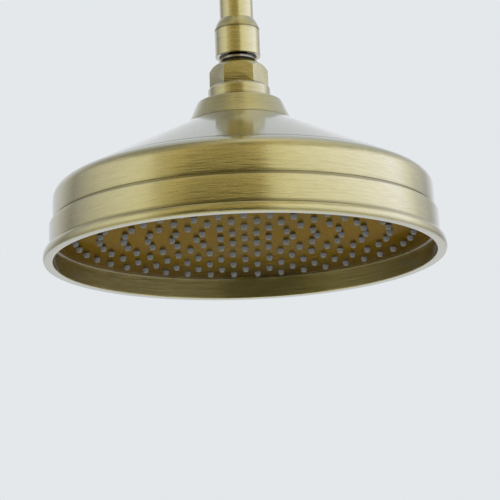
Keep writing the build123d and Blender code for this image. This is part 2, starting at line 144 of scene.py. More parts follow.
class Graph:
    """A node tree that is written as expressions."""

    def __init__(self, tree: bpy.types.NodeTree) -> None:
        """Empties the tree, ready for new nodes."""
        tree.nodes.clear()
        self.tree = tree

    def node(
        self,
        kind: str,
        settings: dict[str, Any] | None = None,
        sockets: dict[str | int, Any] | None = None,
    ) -> bpy.types.Node:
        """Adds one node.

        Args:
            kind: The node's type.
            settings: Its options, with a ramp's stops under "stops" as (place, colour) pairs.
            sockets: Values or links of its inputs, by name or number.

        Returns:
            The new node.
        """
        made = self.tree.nodes.new(kind)
        for name, setting in (settings or {}).items():
            if name == "stops":
                self._set_stops(made.color_ramp, setting)
            else:
                setattr(made, name, setting)
        for key, given in (sockets or {}).items():
            if isinstance(given, Value):
                self.tree.links.new(given.socket, made.inputs[key])
            else:
                made.inputs[key].default_value = given
        return made

    @staticmethod
    def _set_stops(ramp: bpy.types.ColorRamp, stops: Sequence[tuple[float, Colour]]) -> None:
        """Gives a colour ramp its stops.

        Args:
            ramp: The ramp of a new node.
            stops: Its (place, colour) pairs, in order.
        """
        while len(ramp.elements) < len(stops):
            ramp.elements.new(0.0)
        for element, (place, colour) in zip(ramp.elements, stops):
            element.position = place
            element.color = (*colour, 1.0)

    def value(
        self,
        kind: str,
        settings: dict[str, Any] | None = None,
        sockets: dict[str | int, Any] | None = None,
        output: str | int = 0,
    ) -> Value:
        """Adds a node and returns one of its outputs.

        Args:
            kind: The node's type.
            settings: Its options.
            sockets: Values or links of its inputs.
            output: The name or number of the wanted output.

        Returns:
            That output, ready for arithmetic.
        """
        return Value(self, self.node(kind, settings, sockets).outputs[output])

    def math(self, operation: str, *operands: "Value | float", clamp: bool = False) -> Value:
        """Adds a Math node on numbers and values, in order."""
        settings = {"operation": operation, "use_clamp": clamp}
        return self.value("ShaderNodeMath", settings, dict(enumerate(operands)))

    def mix(self, share: Value, low: "Value | Colour", high: "Value | Colour") -> Value:
        """Blends two colours.

        Args:
            share: How much of the high colour shows, from 0 to 1.
            low: The colour at share 0.
            high: The colour at share 1.

        Returns:
            The blended colour.
        """
        settings = {"data_type": "RGBA", "clamp_factor": True}
        sockets = {0: share, 6: self._rgba(low), 7: self._rgba(high)}
        return self.value("ShaderNodeMix", settings, sockets, output=2)

    @staticmethod
    def _rgba(colour: "Value | Colour") -> Any:
        """A plain colour with its alpha, or a value as it is."""
        return colour if isinstance(colour, Value) else (*colour, 1.0)

    def place(self) -> tuple[Value, Value, Value]:
        """Reads the point's place in the object's own frame.

        Returns:
            Its X, Y and Z.
        """
        point = self.value("ShaderNodeTexCoord", output="Object")
        parts = self.node("ShaderNodeSeparateXYZ", sockets={0: point})
        x, y, z = (Value(self, output) for output in parts.outputs)
        return x, y, z

    def vector(self, x: "Value | float", y: "Value | float", z: "Value | float") -> Value:
        """Three values as one vector."""
        return self.value("ShaderNodeCombineXYZ", sockets={0: x, 1: y, 2: z})

    def speckle(self, size: float, detail: float = 2.0) -> Value:
        """Even noise on the object's own coordinates.

        Args:
            size: About how large the spots are.
            detail: Octaves of the noise.

        Returns:
            Noise from 0 to 1.
        """
        point = self.value("ShaderNodeTexCoord", output="Object")
        sockets = {"Vector": point, "Scale": 1.0 / size, "Detail": detail}
        return self.value("ShaderNodeTexNoise", {"noise_dimensions": "3D"}, sockets)

    def strokes(self, pitch: float, length: float, grain: Grain, detail: float = 2.0) -> Value:
        """Brush lines round the axis, or level on flat faces.

        Args:
            pitch: Width of a line across the strokes.
            length: Length of a line along the strokes.
            grain: How the lines lie.
            detail: Octaves of the noise.

        Returns:
            Noise from 0 to 1, drawn out along the strokes.
        """
        x, y, z = self.place()
        across: Value | float = 0.0
        if grain is Grain.ROUND:
            across = self.math("SQRT", x * x + y * y) * (1.0 / pitch)
        vector = self.vector(across, z * (1.0 / pitch), x * (1.0 / length))
        sockets = {"Vector": vector, "W": y * (1.0 / length), "Scale": 1.0, "Detail": detail}
        return self.value("ShaderNodeTexNoise", {"noise_dimensions": "4D"}, sockets)

    def bump(self, height: Value, strength: float, depth: float) -> Value:
        """A normal with small relief."""
        sockets = {"Height": height, "Strength": strength, "Distance": depth}
        return self.value("ShaderNodeBump", sockets=sockets)


def new_material(title: str, surface: Callable[[Graph], Value]) -> bpy.types.Material:
    """Makes a material from the shader that a function builds.

    Args:
        title: The material's name.
        surface: Builds the shader in an empty node tree.

    Returns:
        The new material.
    """
    made = bpy.data.materials.new(title)
    made.use_nodes = True
    graph = Graph(made.node_tree)
    graph.node("ShaderNodeOutputMaterial", sockets={"Surface": surface(graph)})
    return made


@dataclass(frozen=True)
class Finish:
    """A finish that a record's slot gives to its pieces."""

    slot: str
    title: str

    def surface(self, graph: Graph) -> Value:
        """Builds the shader; each finish has its own."""
        raise NotImplementedError(self.title)


@dataclass(frozen=True)
class SatinBrass(Finish):
    """Brushed and lacquered pale brass, whitening where it is seen aslant."""

    slot: str = "satin_brass"
    title: str = "satin brass"
    grain: Grain = Grain.ROUND
    line_tone: Colour = (0.665, 0.575, 0.215)
    tone: Colour = (0.92, 0.815, 0.365)
    edge_tone: Colour = (0.93, 0.86, 0.52)
    edge_least: float = 0.35
    edge_broken: float = 0.7
    edge_polish: float = 0.05
    # Below zero the marks mix in this dark tone: partly patina, partly painted shade in grooves, creases, joints,
    # the dish and the inner wall.
    patina_and_shade_tone: Colour = (0.06, 0.046, 0.02)
    patina_and_shade_least: float = 0.8
    patina_and_shade_broken: float = 0.4
    patina_and_shade_roughness: float = 0.30
    slant_tint: Colour = (1.0, 1.0, 1.0)
    glare_tone: Colour = (0.78, 0.80, 0.79)
    glare_share: float = 1.0
    glare_power: float = 1.4
    glare_roughness: float = 0.085
    glare_swing: float = 0.088
    glare_spread: float = 0.4
    glare_patina_and_shade: float = 0.9
    roughness: float = 0.25
    roughness_swing: float = 0.22
    spread: float = 0.80
    quarter_turn: float = 0.25
    fine_pitch: float = 0.00045
    fine_length: float = 0.006
    fine_share: float = 0.6
    coarse_pitch: float = 0.0012
    coarse_length: float = 0.016
    contrast: float = 2.2
    cloud_size: float = 0.035
    cloud_depth: float = 0.25
    cloud_roughness: float = 0.05
    line_depth: float = 0.00028
    line_strength: float = 0.7
    relief_fine: float = 0.4

    def surface(self, graph: Graph) -> Value:
        """Builds the brushed metal under its lacquer glare.

        Args:
            graph: The material's node tree.

        Returns:
            The finished shader.
        """
        fine = graph.strokes(self.fine_pitch, self.fine_length, self.grain)
        coarse = graph.strokes(self.coarse_pitch, self.coarse_length, self.grain)
        cloud = graph.speckle(self.cloud_size) - NOISE_MIDDLE
        lines = self.fine_share * fine + (1.0 - self.fine_share) * coarse - NOISE_MIDDLE
        wear_and_shade = graph.value("ShaderNodeAttribute", {"attribute_name": WEAR_AND_SHADE}, output="Fac")
        edge = (wear_and_shade.above(0.0) * (self.edge_least + self.edge_broken * coarse)).limited()
        # Patina and painted shade where the marks go below zero.
        patina_and_shade = ((-wear_and_shade).above(0.0) * (self.patina_and_shade_least + self.patina_and_shade_broken * fine)).limited()
        share = (NOISE_MIDDLE + self.contrast * lines + self.cloud_depth * cloud).limited()
        brushed = graph.mix(share, self.line_tone, self.tone)
        worn = graph.mix(edge, brushed, self.edge_tone)
        colour = graph.mix(patina_and_shade, worn, self.patina_and_shade_tone)
        shade_dulled = self.patina_and_shade_roughness * patina_and_shade
        rough = self.roughness + self.roughness_swing * lines + self.cloud_roughness * cloud
        rough = (rough - self.edge_polish * edge + shade_dulled).limited()
        depth = self.relief_fine * fine + (1.0 - self.relief_fine) * coarse
        common = {"Metallic": 1.0, "Anisotropic Rotation": self.quarter_turn}
        metal = graph.value(
            "ShaderNodeBsdfPrincipled",
            sockets={
                **common, "Base Color": colour, "Roughness": rough, "Anisotropic": self.spread,
                "Normal": graph.bump(depth, self.line_strength, self.line_depth),
                "Specular Tint": (*self.slant_tint, 1.0),
            },
        )
        # The glare darkens with the same patina and painted shade.
        pale = graph.mix(self.glare_patina_and_shade * patina_and_shade, self.glare_tone, self.patina_and_shade_tone)
        slick = (self.glare_roughness + self.glare_swing * lines + shade_dulled).limited()
        glare = graph.value(
            "ShaderNodeBsdfPrincipled",
            sockets={**common, "Base Color": pale, "Roughness": slick, "Anisotropic": self.glare_spread},
        )
        aslant = graph.value("ShaderNodeLayerWeight", output="Facing")
        factor = self.glare_share * aslant**self.glare_power
        return graph.value("ShaderNodeMixShader", sockets={0: factor, 1: metal, 2: glare})


@dataclass(frozen=True)
class PlainFinish(Finish):
    """A finish of two tones, clouded and grained, for the plainer pieces."""

    low_tone: Colour
    high_tone: Colour
    metallic: float = 0.0
    roughness: float = 0.4
    roughness_swing: float = 0.12
    grain_size: float = 0.0004
    grain_contrast: float = 1.2
    cloud_size: float = 0.012
    cloud_detail: float = 3.0
    cloud_contrast: float = 0.8
    relief: float = 0.00002
    relief_strength: float = 0.3
    turned: bool = False
    turned_stretch: float = 30.0
    soft_glow: float = 0.0
    glow_reach: float = 0.001
    gloss: float = 0.5

    def surface(self, graph: Graph) -> Value:
        """Builds the shader from its grain and clouds.

        Args:
            graph: The material's node tree.

        Returns:
            The finished shader.
        """
        cloud = graph.speckle(self.cloud_size, self.cloud_detail) - NOISE_MIDDLE
        if self.turned:
            grain = graph.strokes(self.grain_size, self.turned_stretch * self.grain_size, Grain.ROUND)
        else:
            grain = graph.speckle(self.grain_size)
        lines = grain - NOISE_MIDDLE
        share = (NOISE_MIDDLE + self.grain_contrast * lines + self.cloud_contrast * cloud).limited()
        sockets = {
            "Base Color": graph.mix(share, self.low_tone, self.high_tone),
            "Metallic": self.metallic,
            "Roughness": (self.roughness + self.roughness_swing * (lines + cloud)).limited(),
            "Specular IOR Level": self.gloss,
            "Subsurface Weight": self.soft_glow,
            "Normal": graph.bump(grain, self.relief_strength, self.relief),
        }
        if self.soft_glow:
            sockets["Subsurface Radius"] = (self.glow_reach,) * 3
        return graph.value("ShaderNodeBsdfPrincipled", sockets=sockets)


class Look(Enum):
    """The finishes of the part."""

    SATIN_BRASS = SatinBrass()
    SATIN_BRASS_FLATS = SatinBrass(title="satin brass on flats", grain=Grain.LEVEL)
    # A darker copy of the satin brass for the sunken spray plate: painted shade, with little glare.
    SATIN_BRASS_DULL = SatinBrass(
        title="satin brass, dulled", line_tone=(0.20, 0.15, 0.055), tone=(0.34, 0.265, 0.11),
        slant_tint=(0.55, 0.40, 0.18), glare_share=0.05,
    )
    # A darker copy of the satin brass for the lock collar: painted shade.
    SATIN_BRASS_DEEP = SatinBrass(
        title="satin brass, deeper", line_tone=(0.58, 0.49, 0.19), tone=(0.77, 0.67, 0.295),
    )
    PLAIN_BRASS = PlainFinish(
        "plain_brass", "plain brass", (0.62, 0.47, 0.17), (0.82, 0.66, 0.30),
        metallic=1.0, roughness=0.28, roughness_swing=0.15, turned=True,
    )
    # A near-black copy of the plain brass for the ball stud: painted shade in the joint's gaps.
    DULL_BRASS = PlainFinish(
        "plain_brass", "brass under painted_shade", (0.07, 0.052, 0.022), (0.13, 0.10, 0.045),
        metallic=1.0, roughness=0.42, roughness_swing=0.15, turned=True,
    )
    BLACK_RUBBER = PlainFinish(
        "black_rubber", "black rubber", (0.006, 0.006, 0.006), (0.016, 0.016, 0.016),
        roughness=0.55, roughness_swing=0.2, grain_size=0.0003, cloud_size=0.006, relief=0.00003, gloss=0.1,
    )
    GREY_SILICONE = PlainFinish(
        "grey_silicone", "grey silicone", (0.20, 0.20, 0.195), (0.32, 0.32, 0.31),
        roughness=0.42, roughness_swing=0.15, cloud_size=0.01, soft_glow=0.15,
    )
    WHITE_PLASTIC = PlainFinish(
        "white_plastic", "white plastic", (0.72, 0.71, 0.67), (0.82, 0.81, 0.77),
        grain_size=0.0005, cloud_size=0.02,
    )
    STAINLESS_STEEL = PlainFinish(
        "stainless_steel", "stainless steel", (0.53, 0.51, 0.46), (0.69, 0.67, 0.61), metallic=1.0,
        roughness=0.26, grain_size=0.0003, cloud_size=0.015, relief=0.00001, turned=True,
    )
    # A darker copy of the stainless steel for the dust ring: painted shade in the gap under the collar.
    DARK_STEEL = PlainFinish(
        "stainless_steel", "dulled stainless steel", (0.33, 0.30, 0.22), (0.46, 0.42, 0.32), metallic=1.0,
        roughness=0.12, roughness_swing=0.06, grain_size=0.0003, cloud_size=0.015, relief=0.00001,
        turned=True,
    )


class FinishBook:
    """The materials of the part's finishes, each made once."""

    def __init__(self) -> None:
        """Makes every finish into a material."""
        self.materials = {look: new_material(look.value.title, look.value.surface) for look in Look}
        log.info("finishes: %s", ", ".join(look.value.title for look in Look))

    def dress_nodes(self, look: Look, *nodes: str) -> None:
        """Gives CAD nodes their finish.

        Args:
            look: The finish.
            nodes: The nodes that get it.
        """
        for node in nodes:
            for slot in frame["nodes"][node].material_slots:
                slot.material = self.materials[look]
            log.info("dressed %s in %s", node, look.value.title)

    def dress_piece(self, piece: bpy.types.Object, body: Body, look: Look, node: str) -> None:
        """Finishes a new piece and lets it stand for a CAD node.

        Args:
            piece: The piece, in place.
            body: The CAD body that it moves with.
            look: Its finish.
            node: The CAD node that it stands for.
        """
        piece.data.materials.clear()
        piece.data.materials.append(self.materials[look])
        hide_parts(node)
        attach(piece, body.value)
        log.info("built %s for %s on %s", piece.name, node, body.value)


class Bench:
    """Hand work in edit mode and object mode."""

    @staticmethod
    def clear() -> None:
        """Leaves edit mode and deselects everything."""
        if bpy.context.object and bpy.context.object.mode != "OBJECT":
            bpy.ops.object.mode_set(mode="OBJECT")
        bpy.ops.object.select_all(action="DESELECT")

    @staticmethod
    def take(*pieces: bpy.types.Object) -> None:
        """Selects some objects alone and makes the first one active.

        Args:
            pieces: The objects to select.
        """
        Bench.clear()
        for piece in pieces:
            piece.select_set(True)
        bpy.context.view_layer.objects.active = pieces[0]

    @staticmethod
    def join(*pieces: bpy.types.Object) -> None:
        """Joins objects into the first one."""
        Bench.take(*pieces)
        bpy.ops.object.join()

    @staticmethod
    def named(name: str) -> bpy.types.Object:
        """Names the object that an operator has just added, and puts its place in its mesh.

        Args:
            name: Its new name.

        Returns:
            The object.
        """
        obj = bpy.context.object
        obj.name = name
        obj.data.name = name
        bpy.ops.object.transform_apply(location=True, rotation=True, scale=True)
        return obj

    @staticmethod
    def start_wire(name: str, place: Sequence[float], size: float) -> bpy.types.Object:
        """Starts a wire as one selected point, and stays in edit mode.

        Args:
            name: The new object's name.
            place: Where the wire starts.
            size: Size of the plane that is merged into the point.

        Returns:
            The new object.
        """
        Bench.clear()
        bpy.ops.mesh.primitive_plane_add(size=size, location=place)
        obj = Bench.named(name)
        bpy.ops.object.mode_set(mode="EDIT")
        bpy.ops.mesh.select_all(action="SELECT")
        bpy.ops.mesh.merge(type="CENTER")
        return obj

    @staticmethod
    def draw_wire(across: float, up: float) -> None:
        """Draws the wire on by one step in the plane of X and Z."""
        bpy.ops.mesh.extrude_region_move(TRANSFORM_OT_translate={"value": (across, 0.0, up)})

    @staticmethod
    def pick_points(obj: bpy.types.Object, test: Callable[[Vector], bool]) -> None:
        """Selects, in edit mode, only the vertices whose place passes a test.

        Args:
            obj: The object that is being edited.
            test: Takes a vertex's place and says if it is wanted.
        """
        bpy.ops.mesh.select_mode(type="VERT")
        bpy.ops.mesh.select_all(action="DESELECT")
        mesh = bmesh.from_edit_mesh(obj.data)
        for vertex in mesh.verts:
            if test(vertex.co):
                vertex.select_set(True)
        mesh.select_flush(True)
        bmesh.update_edit_mesh(obj.data)

    @staticmethod
    def close_up() -> None:
        """Merges doubles, turns the faces outwards and goes back to object mode."""
        bpy.ops.mesh.select_all(action="SELECT")
        bpy.ops.mesh.remove_doubles(threshold=MERGE_REACH)
        bpy.ops.mesh.normals_make_consistent(inside=False)
        bpy.ops.object.mode_set(mode="OBJECT")

    @staticmethod
    def smooth(obj: bpy.types.Object, angle: float = 32.0) -> None:
        """Shades an object smooth except at corners sharper than an angle in degrees."""
        Bench.take(obj)
        bpy.ops.object.shade_smooth_by_angle(angle=math.radians(angle))

    @staticmethod
    def combine(obj: bpy.types.Object, tool: bpy.types.Object, cut: Cut) -> None:
        """Cuts an object with a tool, and throws the tool away.

        Args:
            obj: The object that is kept.
            tool: The object that cuts it.
            cut: Which side of the tool stays.
        """
        Bench.take(obj)
        modifier = obj.modifiers.new("combine", "BOOLEAN")
        modifier.operation = cut.value
        modifier.solver = "EXACT"
        modifier.object = tool
        bpy.ops.object.modifier_apply(modifier=modifier.name)
        bpy.data.objects.remove(tool, do_unlink=True)

    @staticmethod
    def hexagon_bar(flats: float, low: float, high: float) -> bpy.types.Object:
        """Adds a hexagonal bar about Z with a flat towards -Y, longer than what it shapes.

        Args:
            flats: Width across flats.
            low: Foot of what it shapes.
            high: Top of what it shapes.

        Returns:
            The bar.
        """
        Bench.clear()
        bpy.ops.mesh.primitive_cylinder_add(
            vertices=6,
            radius=flats / math.sqrt(3),
            depth=high - low + 2 * OVERHANG,
            location=(0, 0, (low + high) / 2),
            rotation=(0, 0, math.pi / 6),
        )
        return Bench.named("hexagon_bar")

    @staticmethod
    def soften(obj: bpy.types.Object, width: float, segments: int, angle: float) -> None:
        """Rounds the sharp edges of an object.

        Args:
            obj: The object.
            width: Width of the rounding.
            segments: Faces across the rounding.
            angle: Edges sharper than this, in degrees, are rounded.
        """
        Bench.take(obj)
        modifier = obj.modifiers.new("soften", "BEVEL")
        modifier.width = width
        modifier.segments = segments
        modifier.limit_method = "ANGLE"
        modifier.angle_limit = math.radians(angle)
        bpy.ops.object.modifier_apply(modifier=modifier.name)


@dataclass(frozen=True)
class Corner:
    """One corner of a turned profile, with its rounding and its mark: above zero a worn edge, below zero patina
    and painted shade.
    """

    r: float
    z: float
    soft: float = 0.0
    wear_and_shade: float = 0.0


def between(start: Corner, end: Corner, shares: tuple[float, float]) -> Corner:
    """The corner at a share of the way across and a share of the way up from start to end."""
    across, up = shares
    return Corner(start.r + across * (end.r - start.r), start.z + up * (end.z - start.z))


def bowed(start: Corner, middle: Corner, end: Corner, count: int) -> list[Corner]:
    """Corners along the arc through three corners, without its two ends.

    Args:
        start: First end of the arc.
        middle: A corner that the arc passes through.
        end: Last end of the arc.
        count: How many corners to give.

    Returns:
        Evenly spaced corners between the ends.
    """
    ax, ay, bx, by, cx, cy = start.r, start.z, middle.r, middle.z, end.r, end.z
    scale = 2 * (ax * (by - cy) + bx * (cy - ay) + cx * (ay - by))
    a2, b2, c2 = ax * ax + ay * ay, bx * bx + by * by, cx * cx + cy * cy
    ux = (a2 * (by - cy) + b2 * (cy - ay) + c2 * (ay - by)) / scale
    uy = (a2 * (cx - bx) + b2 * (ax - cx) + c2 * (bx - ax)) / scale
    radius = math.hypot(ax - ux, ay - uy)
    first, last = math.atan2(ay - uy, ax - ux), math.atan2(cy - uy, cx - ux)
    sweep = math.remainder(last - first, 2 * math.pi)
    angles = [first + sweep * step / (count + 1) for step in range(1, count + 1)]
    return [Corner(ux + radius * math.cos(a), uy + radius * math.sin(a)) for a in angles]


def tangent_arcs(start: Corner, knee: Corner, end: Corner, count: int) -> list[Corner]:
    """Corners along two smooth arcs that leave the start upright, turn at the knee and reach the end.

    Args:
        start: First end, where the outline runs straight up.
        knee: Where the first arc runs into the second.
        end: Last end.
        count: How many corners each arc gets.

    Returns:
        Corners between the ends, with the knee among them.
    """
    def halfway(here: Corner, there: Corner, heading: float) -> tuple[Corner, float]:
        """Finds the arc that leaves one corner on a heading and reaches another.

        Args:
            here: First end of the arc.
            there: Last end of the arc.
            heading: Direction of the outline at the first end.

        Returns:
            The arc's middle, and its heading at the last end.
        """
        chord = math.atan2(there.z - here.z, there.r - here.r)
        bend = chord - heading
        length = math.hypot(there.r - here.r, there.z - here.z)
        rise = length / 2 * math.tan(bend / 2)
        middle = Corner(
            (here.r + there.r) / 2 + rise * math.sin(chord), (here.z + there.z) / 2 - rise * math.cos(chord)
        )
        return middle, chord + bend

    first, heading = halfway(start, knee, math.pi / 2)
    second, _ = halfway(knee, end, heading)
    return [*bowed(start, first, knee, count), knee, *bowed(knee, second, end, count)]


@dataclass(frozen=True)
class Lathe:
    """Turns closed profiles about Z."""

    steps: int = 192
    wear_and_shade_reach: float = 0.0007
    wear_and_shade_fade: float = 0.9
    wear_and_shade_power: float = 0.5
    support_room: float = 3.0
    tightest: float = 1e-6
    edge_share: float = 0.48
    arc_length: float = 0.0003
    arc_segments: tuple[int, int] = (3, 12)

    def turn(self, name: str, corners: Sequence[Corner], shade: Shade | None = None) -> bpy.types.Object:
        """Draws a profile as a wire, rounds its corners and spins it into a closed piece.

        Args:
            name: The new object's name.
            corners: The profile, in order round its outline.
            shade: Painted shade of whole surfaces, from arrays of radius and height.

        Returns:
            The turned object, smooth and with its worn edges and painted shade marked on its points.
        """
        outline = self._supported(corners)
        start, end = (Vector((corner.r, 0.0, corner.z)) for corner in (outline[0], outline[-1]))
        obj = Bench.start_wire(name, start, self.wear_and_shade_reach)
        for here, there in zip(outline, outline[1:]):
            Bench.draw_wire(there.r - here.r, there.z - here.z)
        Bench.pick_points(
            obj, lambda place: min((place - start).length, (place - end).length) < self.tightest
        )
        bpy.ops.mesh.edge_face_add()
        self._round_corners(obj, outline)
        bpy.ops.mesh.select_all(action="SELECT")
        bpy.ops.mesh.spin(
            steps=self.steps, angle=2 * math.pi, use_auto_merge=True, center=(0, 0, 0), axis=(0, 0, 1)
        )
        Bench.close_up()
        self._mark_wear_and_shade(obj, corners, shade)
        Bench.smooth(obj)
        return obj

    def _reach(self, corners: Sequence[Corner], index: int) -> float:
        """Measures how far the rounding of a corner runs along its two edges.

        Args:
            corners: The profile.
            index: The corner's number in it.

        Returns:
            The length that the rounding takes of each edge.
        """
        here = corners[index]
        before, after = corners[index - 1], corners[(index + 1) % len(corners)]
        first = Vector((here.r - before.r, here.z - before.z))
        second = Vector((after.r - here.r, after.z - here.z))
        reach = here.soft * math.tan(first.angle(second) / 2)
        return min(reach, self.edge_share * min(first.length, second.length))

    def _supported(self, corners: Sequence[Corner]) -> list[Corner]:
        """Adds a plain corner on each side of a marked one, so that its mark stays close to it.

        Args:
            corners: The profile.

        Returns:
            The profile with its new corners.
        """
        outline: list[Corner] = []
        count = len(corners)
        for index, here in enumerate(corners):
            margin = self._reach(corners, index) + self.wear_and_shade_reach
            sides = []
            for other in (corners[index - 1], corners[(index + 1) % count]):
                away = Vector((other.r - here.r, other.z - here.z))
                room = here.wear_and_shade and away.length > self.support_room * margin
                step = away.normalized() * margin if room else None
                sides.append([Corner(here.r + step.x, here.z + step.y)] if step else [])
            outline += [*sides[0], here, *sides[1]]
        return outline

    def _round_corners(self, obj: bpy.types.Object, outline: Sequence[Corner]) -> None:
        """Rounds the wire at each corner that has a radius.

        Args:
            obj: The wire, in edit mode.
            outline: Its corners.
        """
        fewest, most = self.arc_segments
        for index, corner in enumerate(outline):
            reach = self._reach(outline, index)
            if reach < self.tightest:
                continue
            spot = Vector((corner.r, 0.0, corner.z))
            Bench.pick_points(obj, lambda place: (place - spot).length < self.tightest)
            segments = int(min(most, max(fewest, corner.soft / self.arc_length)))
            bpy.ops.mesh.bevel(offset=reach, offset_type="OFFSET", segments=segments, affect="VERTICES")

    def _mark_wear_and_shade(
        self, obj: bpy.types.Object, corners: Sequence[Corner], shade: Shade | None
    ) -> None:
        """Writes each point's mark: above zero on worn edges, below zero for patina and painted shade.

        Args:
            obj: The turned object.
            corners: The profile, with the marks of its corners.
            shade: Painted shade of whole surfaces.
        """
        places = np.empty(3 * len(obj.data.vertices))
        obj.data.vertices.foreach_get("co", places)
        x, y, z = places.reshape(-1, 3).T
        radius = np.hypot(x, y)
        wear_and_shade = np.zeros(len(radius))
        # Corner marks: above zero worn edges, below zero patina and painted shade.
        for index, corner in enumerate(corners):
            if corner.wear_and_shade:
                reach = self._reach(corners, index) + self.wear_and_shade_fade * self.wear_and_shade_reach
                away = np.hypot(radius - corner.r, z - corner.z) / reach
                wear_and_shade += corner.wear_and_shade * np.clip(1.0 - away, 0.0, 1.0) ** self.wear_and_shade_power
        # Whole surfaces below zero take painted shade.
        if shade:
            wear_and_shade -= shade(radius, z)
        layer = obj.data.attributes.new(WEAR_AND_SHADE, "FLOAT", "POINT")
        layer.data.foreach_set("value", np.clip(wear_and_shade, -1.0, 1.0))


@dataclass
class RoseHead:
    """The rose's metal: neck, spun dome and the apron ring with its flared lip."""

    finishes: FinishBook
    lathe: Lathe
    edge_soft: float = 0.0003
    edge_wear: float = 0.3
    barrel: float = 0.00016
    barrel_steps: int = 7

    apron_inner_r: float = 0.0952
    inside_shade: float = 0.30
    skirt_h: float = 0.0154
    skirt_r: float = 0.0966
    # Painted shade on the skirt's foot, over the lip groove.
    skirt_foot_shade: float = -0.4
    lap_r: float = 0.09475
    # Painted shade where the dome's band sits in the apron's top.
    lap_shade: float = -0.5
    lip_h: float = 0.0047
    lip_root: float = 0.0028
    lip_top_wear: float = 0.1
    lip_edge_h: float = 0.0027
    lip_edge_chamfer: float = 0.0005
    lip_foot_h: float = 0.0007
    lip_foot_inset: float = 0.00015
    # Painted shade on the lip's foot.
    lip_foot_shade: float = -0.25
    lip_steps: int = 7
    groove_width: float = 0.0008
    groove_depth: float = 0.0006
    # Patina and painted shade in the groove above the lip.
    groove_patina_and_shade: float = -0.7
    ring_slot_h: tuple[float, float] = (0.0104, 0.0114)
    ring_slot_depth: float = 0.0007

    dome_wall: float = 0.0014
    band_top_h: float = 0.03125
    band_foot_wear: float = 0.2
    band_groove_width: float = 0.00178
    band_groove_depth: float = 0.0005
    # Patina and painted shade in the groove at the foot of the dome's band.
    band_groove_patina_and_shade: float = -0.5
    shoulder_reach: float = 0.00895
    shoulder_rise: float = 0.0087
    shoulder_steps: int = 8
    knee_reach: float = 0.0029
    knee_rise: float = 0.00555
    crease_reach: float = 0.0022
    crease_shade: float = 0.8
    cone_slope: float = 26.4
    # Painted shade where the cone meets the neck.
    cone_head_shade: float = -0.3

    neck_hole_r: float = 0.0141
    neck_height: float = 0.01202
    # Painted shade where the neck stands on the dome.
    neck_foot_shade: float = -0.5
    neck_waist_height: float = 0.01039
    neck_waist_r: float = 0.0217
    neck_waist_soft: float = 0.0012
    neck_top_r: float = 0.016
    # Painted shade at the neck's top, under the swivel.
    neck_top_shade: float = -0.3
    neck_flare_bow: tuple[float, float] = (0.532, 0.493)
    neck_crown_bow: tuple[float, float] = (0.49, 0.62)
    neck_steps: int = 3
    spigot_r: float = 0.0112
    cup_r: float = 0.0105
    cup_side_angle: float = 30.0
    cup_steps: int = 8
    neck_bore_r: float = 0.0065
    neck_ledge_drop: float = 0.0053
    feed_socket_r: float = 0.0085
    neck_thread_r: float = 0.0140
    gasket_r: tuple[float, float] = (0.0165, 0.0205)
    gasket_thickness: float = 0.001

    def build(self) -> None:
        """Builds and dresses the three turned pieces and the pieces between them."""
        self.build_apron()
        self.build_dome()
        self.build_neck()
        self.finishes.dress_nodes(Look.BLACK_RUBBER, "neck_gasket")
        self.finishes.dress_nodes(Look.PLAIN_BRASS, "neck_washer", "neck_locknut")

    def barrelled(self, radius: float, low: float, high: float, wear_and_shade: float) -> list[Corner]:
        """Corners of an upright band that bellies out a very little between its two edges.

        Args:
            radius: Radius of the two edges.
            low: Height of the lower edge.
            high: Height of the upper edge.
            wear_and_shade: Mark of the lower edge, worn above zero, patina and painted shade below zero.

        Returns:
            The band's corners, from below.
        """
        foot, head = Corner(radius, low, self.edge_soft / 2, wear_and_shade), Corner(radius, high)
        belly = Corner(radius + self.barrel, (low + high) / 2)
        return [foot, *bowed(foot, belly, head, self.barrel_steps), head]

    def build_apron(self) -> None:
        """Turns the apron ring."""
        low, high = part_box("apron_ring")
        rim, top, rose_r = low.z, high.z, high.x
        groove_r = self.skirt_r - self.groove_depth
        groove_low = rim + self.lip_h
        groove_high = groove_low + self.groove_width
        slot_low, slot_high = (rim + height for height in self.ring_slot_h)
        slot_r = self.apron_inner_r + self.ring_slot_depth
        soft = self.edge_soft
        lip_foot = Corner(
            rose_r - self.lip_foot_inset, rim + self.lip_foot_h, soft / 2, self.lip_foot_shade
        )
        lip_edge = Corner(rose_r, rim + self.lip_edge_h)
        lip_top = Corner(self.skirt_r + self.lip_root, groove_low, soft, self.lip_top_wear)
        corners = [
            Corner(self.apron_inner_r, rim, soft, self.edge_wear),
            Corner(rose_r - self.lip_edge_chamfer, rim, soft),
            lip_foot,
            *bowed(lip_foot, lip_edge, lip_top, self.lip_steps),
            lip_top,
            Corner(groove_r, groove_low, wear_and_shade=self.groove_patina_and_shade),
            Corner(groove_r, groove_high, wear_and_shade=self.groove_patina_and_shade),
            *self.barrelled(self.skirt_r, groove_high, top, self.skirt_foot_shade)[:-1],
            Corner(self.skirt_r, top, soft, self.edge_wear),
            Corner(self.lap_r, top, wear_and_shade=self.lap_shade),
            Corner(self.lap_r, rim + self.skirt_h),
            Corner(self.apron_inner_r, rim + self.skirt_h),
            Corner(self.apron_inner_r, slot_high),
            Corner(slot_r, slot_high),
            Corner(slot_r, slot_low),
            Corner(self.apron_inner_r, slot_low),
        ]

        def shade(radius: np.ndarray, height: np.ndarray) -> np.ndarray:
            """Darkens the wall inside the lip."""
            inside = (radius < self.apron_inner_r + soft) & (height > rim + 2 * soft)
            return np.where(inside, self.inside_shade, 0.0)

        apron = self.lathe.turn("turned_apron", corners, shade)
        self.finishes.dress_piece(apron, Body.ROSE, Look.SATIN_BRASS, "apron_ring")

